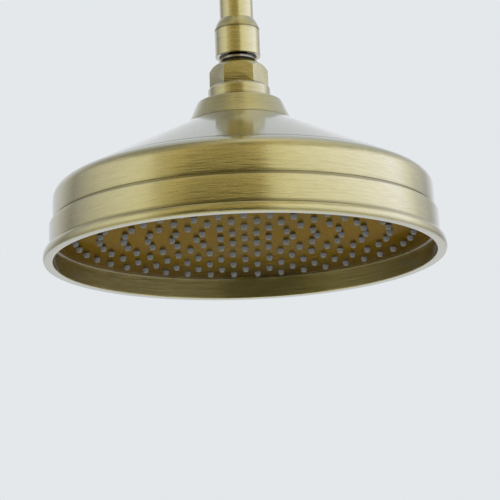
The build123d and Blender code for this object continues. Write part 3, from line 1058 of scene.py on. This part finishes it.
    def build_dome(self) -> None:
        """Turns the spun dome."""
        low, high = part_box("dome_shell")
        foot, land, band_r = low.z, high.z, high.x
        band_top = foot - self.skirt_h + self.band_top_h
        slope = math.radians(self.cone_slope)
        wall = self.dome_wall
        crease = Corner(band_r - self.shoulder_reach, band_top + self.shoulder_rise)
        past_crease = Corner(
            crease.r - self.crease_reach * math.cos(slope), crease.z + self.crease_reach * math.sin(slope)
        )
        head_r = crease.r - (land - crease.z) / math.tan(slope)
        groove_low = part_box("apron_ring")[1].z
        groove_high = groove_low + self.band_groove_width
        groove_r = band_r - self.band_groove_depth
        band = self.barrelled(band_r, groove_high, band_top, self.band_foot_wear)
        knee = Corner(band_r - self.knee_reach, band_top + self.knee_rise)
        corners = [
            Corner(band_r, foot),
            Corner(band_r, groove_low),
            Corner(groove_r, groove_low, wear_and_shade=self.band_groove_patina_and_shade),
            Corner(groove_r, groove_high, wear_and_shade=self.band_groove_patina_and_shade),
            *band,
            *tangent_arcs(band[-1], knee, crease, self.shoulder_steps),
            crease,
            past_crease,
            Corner(head_r, land, wear_and_shade=self.cone_head_shade),
            Corner(self.neck_hole_r, land),
            Corner(self.neck_hole_r, land - wall),
            Corner(head_r - wall * math.tan(slope / 2), land - wall),
            Corner(crease.r, crease.z - wall / math.cos(slope)),
            Corner(band_r - wall, band_top),
            Corner(band_r - wall, foot),
        ]

        def shade(radius: np.ndarray, height: np.ndarray) -> np.ndarray:
            """Darkens the crease between shoulder and cone."""
            near = 1.0 - np.abs(radius - crease.r) / self.crease_reach
            return self.crease_shade * np.where(height > crease.z - wall / 2, near, 0.0).clip(0.0)

        dome = self.lathe.turn("spun_dome", corners, shade)
        self.finishes.dress_piece(dome, Body.ROSE, Look.SATIN_BRASS, "dome_shell")

    def build_neck(self) -> None:
        """Turns the neck with the ball's cup above and the thread through the dome below."""
        low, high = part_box("neck_socket")
        ball = Vector(frame["joints"][0]["pos_m"]).z
        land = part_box("dome_shell")[1].z
        top = land + self.neck_height
        ledge = top - self.neck_ledge_drop
        side = math.radians(self.cup_side_angle)
        cup_mouth = Corner(math.sqrt(self.cup_r**2 - (high.z - ball) ** 2), high.z)
        cup_side = Corner(self.cup_r * math.cos(side), ball - self.cup_r * math.sin(side))
        cup_foot = Corner(self.neck_bore_r, ball - math.sqrt(self.cup_r**2 - self.neck_bore_r**2))
        gasket_in, gasket_out = self.gasket_r
        recess = land + self.gasket_thickness
        base = Corner(high.x, land, wear_and_shade=self.neck_foot_shade)
        waist = Corner(self.neck_waist_r, land + self.neck_waist_height, self.neck_waist_soft)
        crown = Corner(self.neck_top_r, top, wear_and_shade=self.neck_top_shade)
        corners = [
            base,
            *bowed(base, between(base, waist, self.neck_flare_bow), waist, self.neck_steps),
            waist,
            *bowed(waist, between(waist, crown, self.neck_crown_bow), crown, self.neck_steps),
            crown,
            Corner(self.spigot_r, top),
            Corner(self.spigot_r, high.z),
            cup_mouth,
            *bowed(cup_mouth, cup_side, cup_foot, self.cup_steps),
            cup_foot,
            Corner(self.neck_bore_r, ledge),
            Corner(self.feed_socket_r, ledge),
            Corner(self.feed_socket_r, low.z),
            Corner(self.neck_thread_r, low.z),
            Corner(self.neck_thread_r, land),
            Corner(gasket_in, land),
            Corner(gasket_in, recess),
            Corner(gasket_out, recess),
            Corner(gasket_out, land),
        ]
        neck = self.lathe.turn("turned_neck", corners)
        self.finishes.dress_piece(neck, Body.ROSE, Look.SATIN_BRASS, "neck_socket")


@dataclass
class BallSwivel:
    """The ball joint: hexagon nut, lock collar, and the rings that hold and seal the ball."""

    finishes: FinishBook
    lathe: Lathe
    flats: float = 0.0255
    blank_r: float = 0.0152
    blank_steps: int = 120
    dome_r: float = 0.0184
    dome_steps: int = 14
    top_r: float = 0.0093
    mouth_r: float = 0.0088
    lip_r: float = 0.0086
    seat_r: float = 0.0105
    seat_steps: int = 10
    thread_r: float = 0.01125
    thread_height: float = 0.002
    nut_edge_soft: float = 0.0006
    nut_edge_segments: int = 3
    nut_edge_angle: float = 22.0
    nut_smooth_angle: float = 20.0
    collar_edge_soft: float = 0.0003
    collar_chamfer: float = 0.0015
    # Painted shade at the lock collar's foot.
    collar_foot_wear_and_shade: float = -0.4
    collar_edge_wear: float = 0.4
    # Painted shade at the lock collar's top, where it meets the nut.
    collar_top_shade: float = -0.3

    def build(self) -> None:
        """Builds the nut and the collar, and dresses the rings and the stud."""
        self.build_nut()
        self.build_collar()
        self.finishes.dress_nodes(Look.WHITE_PLASTIC, "seat_ring")
        self.finishes.dress_nodes(Look.BLACK_RUBBER, "ball_seal", "dust_seal")
        # The stud gets the near-black brass: painted shade.
        self.finishes.dress_nodes(Look.DULL_BRASS, "ball_stud")
        # The dust ring gets the darker steel: painted shade.
        self.finishes.dress_nodes(Look.DARK_STEEL, "dust_ring")

    def build_nut(self) -> None:
        """Turns a domed blank, and keeps what it shares with a hexagon bar."""
        low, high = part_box("ball_nut")
        foot, top = low.z, high.z
        ball = Vector(frame["joints"][0]["pos_m"]).z
        centre = top - math.sqrt(self.dome_r**2 - self.top_r**2)
        rim = Corner(self.top_r, top)
        hip = Corner(self.blank_r, centre + math.sqrt(self.dome_r**2 - self.blank_r**2))
        waist_r = (self.top_r + self.blank_r) / 2
        waist = Corner(waist_r, centre + math.sqrt(self.dome_r**2 - waist_r**2))
        thread_top = foot + self.thread_height
        seat_foot = Corner(math.sqrt(self.seat_r**2 - (ball - thread_top) ** 2), thread_top)
        seat_lip = Corner(self.lip_r, ball + math.sqrt(self.seat_r**2 - self.lip_r**2))
        corners = [
            rim,
            Corner(self.mouth_r, top),
            seat_lip,
            *bowed(seat_lip, Corner(self.seat_r, ball), seat_foot, self.seat_steps),
            seat_foot,
            Corner(self.thread_r, thread_top),
            Corner(self.thread_r, foot),
            Corner(self.blank_r, foot),
            hip,
            *bowed(hip, waist, rim, self.dome_steps),
        ]
        nut = Lathe(self.blank_steps).turn("hexagon_nut", corners)
        Bench.combine(nut, Bench.hexagon_bar(self.flats, foot, top), Cut.INSIDE)
        Bench.soften(nut, self.nut_edge_soft, self.nut_edge_segments, self.nut_edge_angle)
        Bench.smooth(nut, self.nut_smooth_angle)
        self.finishes.dress_piece(nut, Body.ROSE, Look.SATIN_BRASS_FLATS, "ball_nut")

    def build_collar(self) -> None:
        """Turns the round lock collar under the nut."""
        low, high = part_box("lock_collar")
        radius, soft = high.x, self.collar_edge_soft
        corners = [
            Corner(self.thread_r, low.z),
            Corner(radius, low.z, soft, self.collar_foot_wear_and_shade),
            Corner(radius, high.z - self.collar_chamfer, soft, self.collar_edge_wear),
            Corner(radius - self.collar_chamfer, high.z, soft / 2, self.collar_top_shade),
            Corner(self.thread_r, high.z),
        ]
        collar = self.lathe.turn("turned_lock_collar", corners)
        # The lock collar gets the darker brass: painted shade.
        self.finishes.dress_piece(collar, Body.ROSE, Look.SATIN_BRASS_DEEP, "lock_collar")


@dataclass
class CeilingArm:
    """The fixed arm: ceiling flange, threaded inlet, pipe and the collar on its lower end."""

    finishes: FinishBook
    lathe: Lathe
    edge_soft: float = 0.0004

    flange_top_wear: float = 0.3
    flange_edge: float = 0.0035
    flange_edge_wear: float = 0.8
    flange_step: float = 0.0025
    flange_lip: float = 0.003
    flange_wall: float = 0.0025
    cove_height: float = 0.009
    cove_bow: tuple[float, float] = (0.72, 0.62)
    cove_wear: float = 0.6
    cove_steps: int = 12
    boss_r: float = 0.013
    boss_wear: float = 0.7
    pipe_hole_r: float = 0.0086
    # Painted shade round the hole where the pipe enters the flange.
    pipe_hole_shade: float = -0.8
    hollow_r: float = 0.01416
    hollow_depth: float = 0.0083
    screw_hole_r: float = 0.00205
    screw_hole_sides: int = 48

    inlet_steps: int = 96
    inlet_hex: float = 0.024
    inlet_hex_height: float = 0.008
    inlet_hex_chamfer: float = 0.001
    inlet_hex_room: float = 0.0005
    inlet_bore_r: float = 0.0055
    inlet_plug_r: float = 0.00695
    thread_pitch: float = 0.001814
    thread_depth: float = 0.001162
    thread_flank: float = 0.34
    thread_crest: float = 0.24
    thread_sunk: float = 0.0003
    thread_steps: int = 64

    collar_height: float = 0.0142
    collar_foot_soft: float = 0.0003
    collar_foot_wear_and_shade: float = 0.3
    groove_width: float = 0.0008
    groove_depth: float = 0.00035
    groove_edge_wear: float = 0.2
    # Patina and painted shade in the end collar's groove.
    groove_patina_and_shade: float = -0.4
    shoulder_r: float = 0.0089
    shoulder_soft: float = 0.0002
    shoulder_wear: float = 0.5
    shoulder_bow: tuple[float, float] = (0.42, 0.56)
    shoulder_steps: int = 10
    socket_r: float = 0.00855
    socket_depth: float = 0.0097
    # Painted shade round the socket where the pipe enters the end collar.
    socket_shade: float = -0.8
    stud_hole_r: float = 0.00605
    dish_r: float = 0.0098
    dish_depth: float = 0.002
    dish_rim: float = 0.0007
    dish_shade: float = 1.0

    def build(self) -> None:
        """Builds the turned covers and dresses the pipe and the small pieces."""
        self.build_flange()
        self.build_inlet()
        self.build_end_collar()
        self.finishes.dress_nodes(Look.SATIN_BRASS, "drop_pipe")
        self.finishes.dress_nodes(Look.BLACK_RUBBER, "flange_rubber_ring", "stud_rubber_ring")
        self.finishes.dress_nodes(Look.STAINLESS_STEEL, "flange_grub_screw", "arm_strainer")

    def build_flange(self) -> None:
        """Turns the flared ceiling flange and drills its boss for the grub screw."""
        low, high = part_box("ceiling_flange")
        radius = high.x
        inner_r = radius - self.flange_wall
        cove_top = Corner(
            radius - self.flange_lip, -self.flange_edge - self.flange_step, self.edge_soft, self.cove_wear
        )
        cove_foot = Corner(self.boss_r, cove_top.z - self.cove_height)
        corners = [
            Corner(radius, 0.0, self.edge_soft / 2, self.flange_top_wear),
            Corner(radius, -self.flange_edge, self.edge_soft, self.flange_edge_wear),
            cove_top,
            *bowed(cove_top, between(cove_top, cove_foot, self.cove_bow), cove_foot, self.cove_steps),
            cove_foot,
            Corner(self.boss_r, low.z, 2 * self.edge_soft, self.boss_wear),
            Corner(self.pipe_hole_r, low.z, wear_and_shade=self.pipe_hole_shade),
            Corner(self.pipe_hole_r, -self.hollow_depth),
            Corner(self.hollow_r, -self.hollow_depth),
            Corner(inner_r, self.flange_wall - self.flange_edge),
            Corner(inner_r, 0.0),
        ]
        flange = self.lathe.turn("turned_flange", corners)
        screw_low, screw_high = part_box("flange_grub_screw")
        Bench.clear()
        bpy.ops.mesh.primitive_cylinder_add(
            vertices=self.screw_hole_sides,
            radius=self.screw_hole_r,
            depth=2 * self.boss_r,
            location=(0.0, screw_low.y + self.boss_r, (screw_low.z + screw_high.z) / 2),
            rotation=(math.pi / 2, 0, 0),
        )
        Bench.combine(flange, Bench.named("screw_drill"), Cut.OUTSIDE)
        Bench.smooth(flange)
        self.finishes.dress_piece(flange, Body.ARM, Look.SATIN_BRASS, "ceiling_flange")

    def build_inlet(self) -> None:
        """Builds the inlet: hexagon, plug and a cut pipe thread."""
        low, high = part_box("inlet_fitting")
        mount = next(m for m in frame["record"]["mounts"] if m["name"] == "inlet_thread")
        crest_r = mount["dims"]["r_mm"] / 1000.0
        root_r = crest_r - self.thread_depth
        end_chamfer = self.thread_depth / 2
        hex_foot = -self.inlet_hex_height
        blank_r = self.inlet_hex / math.sqrt(3) + self.inlet_hex_room
        corners = [
            Corner(self.inlet_bore_r, low.z),
            Corner(self.inlet_plug_r, low.z),
            Corner(self.inlet_plug_r, hex_foot),
            Corner(self.inlet_hex / 2, hex_foot),
            Corner(blank_r, hex_foot + self.inlet_hex_chamfer),
            Corner(blank_r, -self.inlet_hex_chamfer),
            Corner(self.inlet_hex / 2, 0.0),
            Corner(root_r, 0.0),
            Corner(root_r, high.z - end_chamfer),
            Corner(root_r - end_chamfer, high.z),
            Corner(self.inlet_bore_r, high.z),
        ]
        inlet = Lathe(self.inlet_steps).turn("threaded_inlet", corners)
        Bench.combine(inlet, Bench.hexagon_bar(self.inlet_hex, low.z, high.z), Cut.INSIDE)
        Bench.join(inlet, self.thread_ridge(root_r, crest_r, high.z))
        Bench.smooth(inlet)
        self.finishes.dress_piece(inlet, Body.ARM, Look.PLAIN_BRASS, "inlet_fitting")

    def thread_ridge(self, root_r: float, crest_r: float, height: float) -> bpy.types.Object:
        """Winds a thread ridge round the spigot, up from the ceiling face.

        Args:
            root_r: Radius at the foot of the ridge.
            crest_r: Radius of its crest.
            height: Height where the spigot ends.

        Returns:
            The wound ridge.
        """
        pitch = self.thread_pitch
        ridge = Bench.start_wire("thread_ridge", (root_r - self.thread_sunk, 0, pitch), pitch / 4)
        Bench.draw_wire(self.thread_sunk, -(self.thread_flank + self.thread_crest / 2) * pitch)
        Bench.draw_wire(crest_r - root_r, self.thread_flank * pitch)
        Bench.draw_wire(0.0, self.thread_crest * pitch)
        Bench.draw_wire(root_r - crest_r, self.thread_flank * pitch)
        bpy.ops.mesh.select_all(action="SELECT")
        bpy.ops.mesh.edge_face_add()
        bpy.ops.object.mode_set(mode="OBJECT")
        winding = ridge.modifiers.new("winding", "SCREW")
        winding.angle = 2 * math.pi
        winding.screw_offset = pitch
        winding.iterations = int(height / pitch) - 1
        winding.steps = winding.render_steps = self.thread_steps
        bpy.ops.object.modifier_apply(modifier=winding.name)
        return ridge

    def build_end_collar(self) -> None:
        """Turns the collar that joins the pipe to the ball's stem."""
        low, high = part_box("arm_end_fitting")
        radius, foot, top = high.x, low.z, high.z
        crease = Corner(radius, foot + self.collar_height)
        groove_r, groove_low = radius - self.groove_depth, crease.z - self.groove_width
        shoulder_top = Corner(self.shoulder_r, top, self.shoulder_soft, self.shoulder_wear)
        shoulder = between(crease, shoulder_top, self.shoulder_bow)
        socket_foot = top - self.socket_depth
        dish_slope = self.dish_depth / (self.dish_r - self.stud_hole_r)
        dish_edge = Corner(self.dish_r - self.dish_rim, foot + self.dish_rim * dish_slope)
        corners = [
            Corner(radius, foot, self.collar_foot_soft, self.collar_foot_wear_and_shade),
            Corner(radius, groove_low, wear_and_shade=self.groove_edge_wear),
            Corner(groove_r, groove_low, wear_and_shade=self.groove_patina_and_shade),
            Corner(groove_r, crease.z, wear_and_shade=self.groove_patina_and_shade),
            crease,
            *bowed(crease, shoulder, shoulder_top, self.shoulder_steps),
            shoulder_top,
            Corner(self.socket_r, top, wear_and_shade=self.socket_shade),
            Corner(self.socket_r, socket_foot),
            Corner(self.stud_hole_r, socket_foot),
            Corner(self.stud_hole_r, foot + self.dish_depth),
            dish_edge,
            Corner(self.dish_r, foot),
        ]

        def shade(reach: np.ndarray, height: np.ndarray) -> np.ndarray:
            """Darkens the dish under the collar, up to its rim."""
            inside = (reach < dish_edge.r + self.dish_rim / 2) & (height < socket_foot)
            return np.where(inside, self.dish_shade, 0.0)

        collar = self.lathe.turn("turned_end_collar", corners, shade)
        self.finishes.dress_piece(collar, Body.ARM, Look.SATIN_BRASS, "arm_end_fitting")


@dataclass
class SprayFace:
    """The spraying end: nozzle mat, face plate, chamber and the ring that holds them up."""

    finishes: FinishBook
    pitch: float = 0.012
    per_ring: int = 6
    rings: int = 7
    plate_thickness: float = 0.0015
    mat_thickness: float = 0.001
    mat_steps: int = 128
    nozzle_steps: int = 12
    root_r: float = 0.0018
    tip_r: float = 0.0013
    draft: float = 0.0001
    tip_chamfer: tuple[float, float] = (0.0002, 0.0006)
    bore_r: float = 0.0006
    bore_chamfer: tuple[float, float] = (0.0002, 0.0003)

    def build(self) -> None:
        """Builds the nozzles and dresses the pieces round them."""
        self.build_nozzles()
        # The spray plate gets the darker brass: painted shade.
        self.finishes.dress_nodes(Look.SATIN_BRASS_DULL, "spray_plate")
        self.finishes.dress_nodes(Look.WHITE_PLASTIC, "chamber_plate", "flow_regulator")
        self.finishes.dress_nodes(Look.STAINLESS_STEEL, "plate_snap_ring")
        self.finishes.dress_nodes(Look.PLAIN_BRASS, "feed_tube")
        self.finishes.dress_nodes(Look.BLACK_RUBBER, "feed_tube_rings")

    def spots(self) -> list[tuple[float, float]]:
        """Places the nozzles in rings round the centre.

        Returns:
            X and Y of each nozzle, apart from the one in the centre.
        """
        found = []
        for ring in range(1, self.rings + 1):
            count = ring * self.per_ring
            for number in range(count):
                angle = 2 * math.pi * number / count
                found.append((ring * self.pitch * math.cos(angle), ring * self.pitch * math.sin(angle)))
        return found

    def build_nozzles(self) -> None:
        """Turns one nozzle, copies it to every hole and joins the copies to the mat."""
        low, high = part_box("nozzle_mat")
        tip, mat_foot = low.z, high.z - self.mat_thickness
        tip_in, tip_up = self.tip_chamfer
        bore_out, bore_up = self.bore_chamfer
        nozzle = [
            Corner(self.bore_r, mat_foot),
            Corner(self.root_r, mat_foot),
            Corner(self.root_r - self.draft, mat_foot - self.plate_thickness),
            Corner(self.tip_r + self.draft, tip + tip_up),
            Corner(self.tip_r - tip_in, tip),
            Corner(self.bore_r + bore_out, tip),
            Corner(self.bore_r, tip + bore_up),
        ]
        disc = [
            Corner(self.bore_r, mat_foot),
            Corner(high.x, mat_foot),
            Corner(high.x, high.z),
            Corner(self.bore_r, high.z),
        ]
        first = Lathe(self.nozzle_steps).turn("nozzle_field", nozzle)
        copies = []
        for x, y in self.spots():
            copy = first.copy()
            copy.data = first.data.copy()
            copy.data.transform(Matrix.Translation((x, y, 0.0)))
            bpy.context.scene.collection.objects.link(copy)
            copies.append(copy)
        Bench.join(first, *copies, Lathe(self.mat_steps).turn("mat_disc", disc))
        self.finishes.dress_piece(first, Body.ROSE, Look.GREY_SILICONE, "nozzle_mat")


@dataclass(frozen=True)
class RoomTone:
    """How bright the surroundings are in one direction, in degrees from the camera's side towards +X."""

    azimuth: float
    level: float
    tint: Colour = (1.0, 1.0, 1.0)


@dataclass
class Studio:
    """Camera, plain light, pale floor and the screen that the metal mirrors."""

    distance: float = 1.2
    below: float = 12.67
    lean: float = 2.13
    lens: float = 174.43
    sensor: float = 36.0
    clip: tuple[float, float] = (0.01, 100.0)
    aim_right: float = 0.00228
    aim_up: float = 0.00446
    pale: Colour = (0.776, 0.807, 0.831)
    floor_z: float = -2.5
    floor_size: float = 16.0
    floor_tone: Colour = (0.80, 0.80, 0.79)
    floor_shade: float = 0.98
    floor_cloud: float = 0.6
    floor_roughness: float = 0.9
    screen_r: float = 4.0
    screen_segments: int = 96
    screen_rings: int = 48
    eye_level: float = 13.0
    swing_reach: float = 13.0
    ceiling_from: float = 22.0
    ceiling_full: float = 42.0
    zenith_from: float = 45.0
    zenith_full: float = 82.0
    ground_from: float = 2.0
    ground_full: float = -40.0
    lamp_place: tuple[float, float, float] = (0.0, -0.6, 2.2)
    lamp_size: float = 1.8
    lamp_power: float = 10.0

    warm: Colour = (1.0, 0.87, 0.56)
    cool: Colour = (0.98, 1.0, 1.05)
    day: Colour = (1.0, 1.03, 1.22)
    window: Colour = (1.0, 1.04, 1.36)
    straw: Colour = (1.0, 0.95, 0.78)
    wall: Colour = (0.955, 1.0, 1.03)

    def room(self) -> list[RoomTone]:
        """Tones of the surroundings at eye level."""
        return [
            RoomTone(-180, 0.82, self.cool),
            RoomTone(-160, 0.64, self.cool),
            RoomTone(-140, 0.52),
            RoomTone(-120, 0.25),
            RoomTone(-105, 0.42),
            RoomTone(-90, 0.58),
            RoomTone(-70, 0.73, self.cool),
            RoomTone(-57, 0.75),
            RoomTone(-50, 0.52, self.straw),
            RoomTone(-40, 0.46, self.warm),
            RoomTone(-29, 0.28, self.warm),
            RoomTone(-10, 0.285, self.warm),
            RoomTone(2, 0.335, self.warm),
            RoomTone(11, 0.36, self.warm),
            RoomTone(17, 0.72),
            RoomTone(30, 0.81, self.day),
            RoomTone(60, 0.91, self.window),
            RoomTone(102, 1.0, self.window),
            RoomTone(112, 0.85, self.cool),
            RoomTone(122, 0.60),
            RoomTone(140, 0.41),
            RoomTone(160, 0.72, self.cool),
            RoomTone(180, 0.82, self.cool),
        ]

    @staticmethod
    def swing() -> list[RoomTone]:
        """How much brighter the surroundings get upwards at eye level."""
        return [
            RoomTone(-180, 0.15),
            RoomTone(-50, 0.15),
            RoomTone(-32, 0.95),
            RoomTone(8, 1.1),
            RoomTone(18, 0.35),
            RoomTone(60, 0.15),
            RoomTone(180, 0.15),
        ]

    def ceiling(self) -> list[RoomTone]:
        """Tones of the surroundings halfway up."""
        return [
            RoomTone(-180, 0.535, self.wall),
            RoomTone(-150, 0.51, self.wall),
            RoomTone(-120, 0.30),
            RoomTone(-60, 0.25),
            RoomTone(-24, 0.34, self.warm),
            RoomTone(-8, 0.12, self.warm),
            RoomTone(8, 0.12, self.warm),
            RoomTone(24, 0.42, self.warm),
            RoomTone(60, 0.44),
            RoomTone(120, 0.46, self.wall),
            RoomTone(180, 0.535, self.wall),
        ]

    def zenith(self) -> list[RoomTone]:
        """Tones of the surroundings overhead."""
        return [
            RoomTone(-180, 0.46, self.wall),
            RoomTone(-90, 0.20, self.straw),
            RoomTone(0, 0.68, self.straw),
            RoomTone(90, 0.70, self.straw),
            RoomTone(180, 0.46, self.wall),
        ]

    def ground(self) -> list[RoomTone]:
        """Tones of the surroundings low down, alike on both sides."""
        front = RoomTone(0, 0.05, self.warm)
        side = [RoomTone(60, 0.20), RoomTone(110, 0.42), RoomTone(180, 0.56, self.cool)]
        return [*(RoomTone(-tone.azimuth, tone.level, tone.tint) for tone in side[::-1]), front, *side]

    @staticmethod
    def rim_height() -> float:
        """Height of the rose's rim, which the camera and the screen are set by."""
        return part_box("apron_ring")[0].z

    def build(self) -> None:
        """Sets the stage."""
        bpy.context.scene.view_settings.view_transform = "Standard"
        self.add_camera()
        self.add_world()
        self.add_floor()
        self.add_screen()
        self.add_lamp()
        log.info("studio set")

    def add_camera(self) -> None:
        """Places the camera below and in front of the rim, leaning a little."""
        rim = Vector((0.0, 0.0, self.rim_height()))
        below = math.radians(self.below)
        lean = Matrix.Rotation(math.radians(-self.lean), 3, "Z")
        back = Vector((0.0, -math.cos(below), -math.sin(below)))
        turn = (-back).to_track_quat("-Z", "Y").to_matrix() @ lean
        place = rim + self.distance * back
        target = rim + self.aim_right * turn.col[0] + self.aim_up * turn.col[1]
        aim = (target - place).to_track_quat("-Z", "Y").to_matrix() @ lean
        lens = bpy.data.cameras.new("camera")
        lens.lens = self.lens
        lens.sensor_width = self.sensor
        lens.clip_start, lens.clip_end = self.clip
        camera = bpy.data.objects.new("camera", lens)
        camera.matrix_world = Matrix.Translation(place) @ aim.to_4x4()
        bpy.context.scene.collection.objects.link(camera)
        bpy.context.scene.camera = camera

    def add_world(self) -> None:
        """Surrounds the object with an even pale tone."""
        world = bpy.data.worlds.new("pale room")
        bpy.context.scene.world = world
        world.use_nodes = True
        graph = Graph(world.node_tree)
        tone = graph.value("ShaderNodeBackground", sockets={"Color": (*self.pale, 1.0)})
        graph.node("ShaderNodeOutputWorld", sockets={"Surface": tone})

    def add_floor(self) -> None:
        """Lays a pale floor well below the object."""
        Bench.clear()
        bpy.ops.mesh.primitive_plane_add(size=self.floor_size, location=(0, 0, self.floor_z))
        floor = Bench.named("floor")
        floor.data.materials.append(new_material("pale floor", self.floor_surface))

    def floor_surface(self, graph: Graph) -> Value:
        """Builds the floor's faintly clouded shader.

        Args:
            graph: The floor's node tree.

        Returns:
            The finished shader.
        """
        shaded = tuple(self.floor_shade * channel for channel in self.floor_tone)
        tone = graph.mix(graph.speckle(self.floor_cloud), shaded, self.floor_tone)
        sockets = {"Base Color": tone, "Roughness": self.floor_roughness}
        return graph.value("ShaderNodeBsdfPrincipled", sockets=sockets)

    def add_screen(self) -> None:
        """Puts a round screen about the object that only mirrored rays see."""
        Bench.clear()
        bpy.ops.mesh.primitive_uv_sphere_add(
            segments=self.screen_segments,
            ring_count=self.screen_rings,
            radius=self.screen_r,
            location=(0, 0, self.rim_height()),
        )
        screen = Bench.named("room_screen")
        screen.data.materials.append(new_material("room screen", self.screen_surface))
        screen.visible_camera = False
        screen.visible_diffuse = False
        screen.visible_transmission = False
        screen.visible_shadow = False

    def screen_surface(self, graph: Graph) -> Value:
        """Blends the tones of the room by direction and elevation.

        Args:
            graph: The screen's node tree.

        Returns:
            The light that the screen gives off.
        """
        x, y, z = graph.place()
        turn = graph.math("ARCTAN2", x, -y) / (2 * math.pi) + 0.5
        level = graph.math("SQRT", x * x + y * y)
        rise = graph.math("ARCTAN2", z - self.rim_height(), level) * (180 / math.pi)

        def ramp(tones: Sequence[RoomTone]) -> Value:
            """Tones round the object as one ramp."""
            stops = [((t.azimuth + 180) / 360, tuple(t.level * c for c in t.tint)) for t in tones]
            return graph.value("ShaderNodeValToRGB", {"stops": stops}, {0: turn})

        def climb(start: float, full: float) -> Value:
            """Share of the way from one elevation to another."""
            return ((rise - start) / (full - start)).limited()

        lift = ((rise - self.eye_level) / self.swing_reach).above(-1.0)
        bright = 1.0 + graph.math("MINIMUM", lift, 1.0) * ramp(self.swing())
        light = graph.value(
            "ShaderNodeVectorMath", {"operation": "SCALE"}, {0: ramp(self.room()), "Scale": bright}
        )
        light = graph.mix(climb(self.ceiling_from, self.ceiling_full), light, ramp(self.ceiling()))
        light = graph.mix(climb(self.zenith_from, self.zenith_full), light, ramp(self.zenith()))
        light = graph.mix(climb(self.ground_from, self.ground_full), light, ramp(self.ground()))
        return graph.value("ShaderNodeEmission", sockets={"Color": light})

    def add_lamp(self) -> None:
        """Hangs one large soft lamp overhead."""
        lamp = bpy.data.lights.new("soft lamp", "AREA")
        lamp.size = self.lamp_size
        lamp.energy = self.lamp_power
        holder = bpy.data.objects.new("soft lamp", lamp)
        holder.location = self.lamp_place
        holder.visible_glossy = False
        bpy.context.scene.collection.objects.link(holder)


def main() -> None:
    """Builds every sub-assembly round the frame, then the studio."""
    logging.basicConfig(level=logging.INFO, format="%(name)s: %(message)s")
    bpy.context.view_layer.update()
    Bench.clear()
    finishes = FinishBook()
    lathe = Lathe()
    CeilingArm(finishes, lathe).build()
    BallSwivel(finishes, lathe).build()
    RoseHead(finishes, lathe).build()
    SprayFace(finishes).build()
    Studio().build()


if __name__ == "__main__":
    main()
